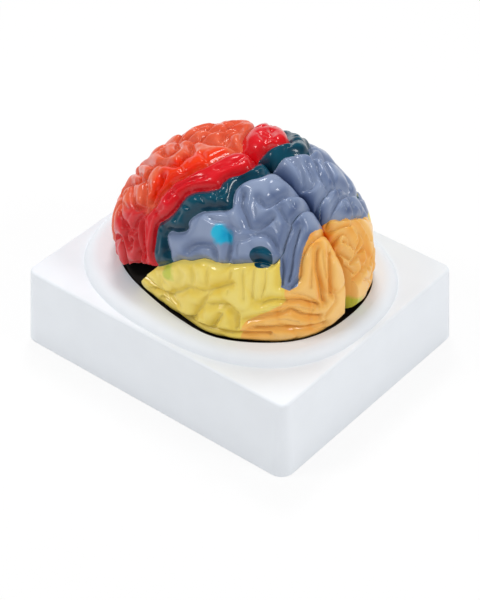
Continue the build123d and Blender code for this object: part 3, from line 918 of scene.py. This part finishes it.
# The long fissure is deep and wide behind, and from one latitude to another turns shallow
fissure_depth, fissure_reach = 15.0 * mm, 19.0
fore_share, fore_reach = 0.3, 9.0
fissure_turn = (-14.0, 6.0)


def inward(points):
    """Direction in which each point may sink, towards a line inside the brain."""
    core = np.zeros_like(points)
    core[:, 1] = np.clip(points[:, 1], core_back, core_front)
    core[:, 2] = core_height
    way = core - points
    return way / np.linalg.norm(way, axis=1, keepdims=True)


def fissure_share(points, latitude):
    """Depth of the long fissure at each point, as a share of its greatest depth."""
    front = np.interp(latitude, fissure_turn, (0, 1))
    reach = fissure_reach + (fore_reach - fissure_reach) * front
    depth = 1 + (fore_share - 1) * front
    return depth * (1 - np.minimum(points[:, 0] / reach, 1)) ** 2 * (1 - parting(latitude)) ** 2


def store(mesh, name, values, kind="FLOAT"):
    """Keep a number or a vector for each point of a mesh."""
    attribute = mesh.attributes.new(name, kind, "POINT")
    field = "value" if kind == "FLOAT" else "vector"
    attribute.data.foreach_set(field, np.ravel(values).astype(np.float32))


def grid_faces(row_count, column_count):
    """Faces of a grid, its flat wall at the middle and its two end faces."""
    point = np.arange(row_count * column_count).reshape(row_count, column_count)
    following = np.roll(point, -1, axis=1)
    quads = np.stack([point[:-1], point[1:], following[1:], following[:-1]], -1).reshape(-1, 4)
    return [*quads.tolist(), point[0].tolist(), point[-1, ::-1].tolist()]


def smooth_half(name, fields, spots):
    """The smooth form of one half, with all that the folding and the paint read from it."""
    latitudes = np.linspace(-end_latitude, end_latitude, rows)
    lat, lon = np.meshgrid(latitudes, np.linspace(0, 180, columns), indexing="ij")
    lat, lon = lat.ravel(), lon.ravel()
    points = brain_form(lat, lon)
    mesh = bpy.data.meshes.new(name)
    mesh.from_pydata((points * mm).tolist(), [], grid_faces(rows, columns))
    store(mesh, "inward", inward(points), "FLOAT_VECTOR")
    store(mesh, "valley", fissure_share(points, lat))
    for field in paints:
        depth = np.full(len(points), -far_outside)
        if field in fields:
            depth = depth_inside(points, lat, lon, fields[field])
        if field in spots:
            *middle, radius = spots[field]
            depth = radius - np.linalg.norm(points - brain_form(*middle), axis=1)
        store(mesh, f"field_{field}", depth)
    return placed(name, mesh)


def plain_mesh(obj, name):
    """The object's evaluated result as a mesh of its own."""
    evaluated = obj.evaluated_get(bpy.context.evaluated_depsgraph_get())
    mesh = bpy.data.meshes.new_from_object(evaluated)
    mesh.name = name
    return mesh


def folded_half(side):
    """One folded half, as a plain mesh on its own side of the middle."""
    half = smooth_half(f"{side}_half", side_fields[side], side_spots[side])
    lines = line_object(f"{side}_furrow_lines", side_furrows[side].values())
    marks = line_object(f"{side}_crease_lines", creases[side].values())
    fold = half.modifiers.new("fold", "NODES")
    fold.node_group = fold_the_cortex
    identifiers = {item.name: item.identifier for item in fold_the_cortex.interface.items_tree}
    values = {
        "Furrows": lines,
        "Fold depth": fold_depth,
        "Fold reach": fold_reach,
        "Creases": marks,
        "Paint": finishes["upper_lobes"],
        "Fissure depth": fissure_depth,
    }
    for name, value in values.items():
        fold[identifiers[name]] = value
    mesh = plain_mesh(half, f"{side}_folded")
    for spare in (half, lines, marks):
        bpy.data.objects.remove(spare)
    places = np.empty(len(mesh.vertices) * 3, np.float32)
    mesh.vertices.foreach_get("co", places)
    places = places.reshape(-1, 3)
    places[:, 0] = np.maximum(places[:, 0], half_gap * mm)
    if side == "left":
        places[:, 0] *= -1
        mesh.flip_normals()
    mesh.vertices.foreach_set("co", places.ravel())
    mesh.update()
    return mesh


folded = {side: folded_half(side) for side in ("left", "right")}
for side, mesh in folded.items():
    print(side, "half:", len(mesh.vertices), "points")

# %% [markdown]
# ## Cutting a half into its two pieces
# Seen from the side, the cut runs back along the lateral furrow and up the furrow behind the
# parietal lobe. A prism with that outline keeps the upper piece. The lower piece keeps what lies
# outside a slightly larger prism, which leaves the hairline between them, and behind a rounded
# tip. It is hollowed for the stem's plug and for the cerebellum below it.

# %% Prisms and hollows
beyond = 120.0
seam_gap, seat_gap = 0.3, 0.4
belly_level = widest_z - belly_drop
frontal_floor, frontal_floor_back = 57.5, 58.0
frontal_rise = (49.0, 65.5)
temporal_tip_y, temporal_tip_z = 30.0, 61.0
temporal_brow = [(27.0, 69.0), (21.5, 76.5), (17.0, 82.0)]
cerebellum_centre, cerebellum_half_size = (0.0, -49.0, 32.0), (46.0, 28.0, 18.0)
# Rings of the cerebellum's hollow, the last ones at this angle above and below its middle
ring_count, last_ring = 40, 89
stem_y, stem_top, stem_neck, stem_plug_radius = -14.0, 66.0, 46.0, 12.0
# Half width, half length, Y and Z of the ovals below the stem's neck
stem_flare = [(17.4, 13.9, -13.0, 34.0), (14.4, 12.9, -13.5, 42.0)]


def solid_from_rings(name, rings):
    """A closed mesh from rings of equal length, the first and the last closed by a face."""
    count = len(rings[0])
    mesh = bpy.data.meshes.new(name)
    points = [tuple(v * mm for v in point) for ring_points in rings for point in ring_points]
    mesh.from_pydata(points, [], grid_faces(len(rings), count))
    shape = bmesh.new()
    shape.from_mesh(mesh)
    bmesh.ops.recalc_face_normals(shape, faces=shape.faces)
    shape.to_mesh(mesh)
    shape.free()
    for field in paints:
        store(mesh, f"field_{field}", np.full(len(points), -far_outside))
    return placed(name, mesh)


def prism(name, outline):
    """A side view, as Y and Z, drawn right across the model."""
    return solid_from_rings(name, [[(x, y, z) for y, z in outline] for x in (-beyond, beyond)])


def grown(outline, gap):
    """An outline with each corner moved outwards by a gap. It runs anticlockwise."""
    points = np.array(outline)
    way = np.roll(points, -1, axis=0) - np.roll(points, 1, axis=0)
    way /= np.linalg.norm(way, axis=1, keepdims=True)
    return (points + gap * np.stack([way[:, 1], -way[:, 0]], -1)).tolist()


seam = brain_form(*rounded([*lateral, *parieto_occipital[1:]]))
seam = (seam + inward(seam) * fold_depth / mm)[:, 1:].tolist()
upper_outline = [
    (beyond, frontal_floor),
    (beyond, 2 * beyond),
    (seam[-1][0], 2 * beyond),
    *seam[::-1],
    frontal_rise,
    (frontal_floor_back, frontal_floor),
]
lower_outline = [
    (temporal_brow[-1][0], 2 * beyond),
    (-beyond, 2 * beyond),
    (-beyond, belly_level - 6),
    (temporal_tip_y - 25, belly_level - 6),
    (temporal_tip_y - 15, temporal_tip_z - 18),
    (temporal_tip_y - 7, temporal_tip_z - 10),
    (temporal_tip_y - 2, temporal_tip_z - 5),
    (temporal_tip_y, temporal_tip_z),
    (temporal_tip_y - 1, temporal_tip_z + 5),
    *temporal_brow,
]


def oval(half_x, half_y, y, z, points=48):
    """A level ring of points round the middle plane."""
    turns = np.linspace(0, 2 * np.pi, points, endpoint=False)
    return [(half_x * np.cos(t), y + half_y * np.sin(t), z) for t in turns]


def cerebellum_hollow():
    x, y, z = cerebellum_centre
    reach_x, reach_y, reach_z = (size + seat_gap for size in cerebellum_half_size)
    rings = []
    for height in np.radians(np.linspace(-last_ring, last_ring, ring_count)):
        share = math.cos(height)
        rings.append(oval(reach_x * share, reach_y * share, y, z + reach_z * math.sin(height)))
    return solid_from_rings("cerebellum_hollow", rings)


def plug_hollow():
    radius = stem_plug_radius + seat_gap
    sections = [*stem_flare, (radius, radius, stem_y, stem_neck)]
    sections += [(radius, radius, stem_y, stem_top + seat_gap)]
    return solid_from_rings("plug_hollow", [oval(*section) for section in sections])


tools = {
    "upper": prism("upper_prism", upper_outline),
    "upper_grown": prism("upper_prism_grown", grown(upper_outline, seam_gap)),
    "behind": prism("lower_prism", lower_outline),
    "cerebellum": cerebellum_hollow(),
    "plug": plug_hollow(),
}
print("Cutting tools:", ", ".join(tools))

# %% Cut, finish and hand over the cortex pieces
crease_angle = math.radians(50)


def cortex_piece(name, mesh, steps, finish):
    """A piece cut out of a folded half, with its finish."""
    piece = placed(name, mesh.copy())
    for operation, tool in steps:
        change = piece.modifiers.new(tool, "BOOLEAN")
        change.operation = operation
        change.solver = "MANIFOLD"
        change.object = tools[tool]
    result = plain_mesh(piece, name)
    piece.modifiers.clear()
    piece.data = result
    result.materials.clear()
    result.materials.append(finishes[finish])
    result.shade_smooth()
    result.set_sharp_from_angle(angle=crease_angle)
    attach(piece, "root")
    return piece


for side in ("left", "right"):
    upper = cortex_piece(
        f"{side}_upper_cortex", folded[side], [("INTERSECT", "upper")], "upper_lobes"
    )
    lower_steps = [("INTERSECT", "behind"), ("DIFFERENCE", "upper_grown")]
    lower_steps += [("DIFFERENCE", "cerebellum"), ("DIFFERENCE", "plug")]
    lower = cortex_piece(f"{side}_lower_cortex", folded[side], lower_steps, "lower_lobes")
    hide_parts(f"{side}_frontal_parietal_lobes")
    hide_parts(f"{side}_temporal_occipital_lobes")
    for piece in (upper, lower):
        print(piece.name, len(piece.data.polygons), "faces")
for tool in tools.values():
    bpy.data.objects.remove(tool)

# %% [markdown]
# ## The pieces that keep their solids
# The white box, the two halves of the cerebellum and of the stem, and the dowels have their final
# shape in the solids. They only need their plastics.

# %% Finish the solids
solid_finish = {"base": "white_base", "dowels": "dowel_plastic"}
for side in ("left", "right"):
    solid_finish[f"{side}_cerebellum"] = "underside_pieces"
    solid_finish[f"{side}_brain_stem"] = "underside_pieces"
for node_name, finish in solid_finish.items():
    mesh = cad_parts[node_name].data
    mesh.materials.clear()
    mesh.materials.append(finishes[finish])
    print(node_name, "in", finishes[finish].name)

# %% [markdown]
# ## Colour view
# The render keeps its colours with the standard view transform.

# %% Standard view transform
bpy.context.scene.view_settings.view_transform = "Standard"
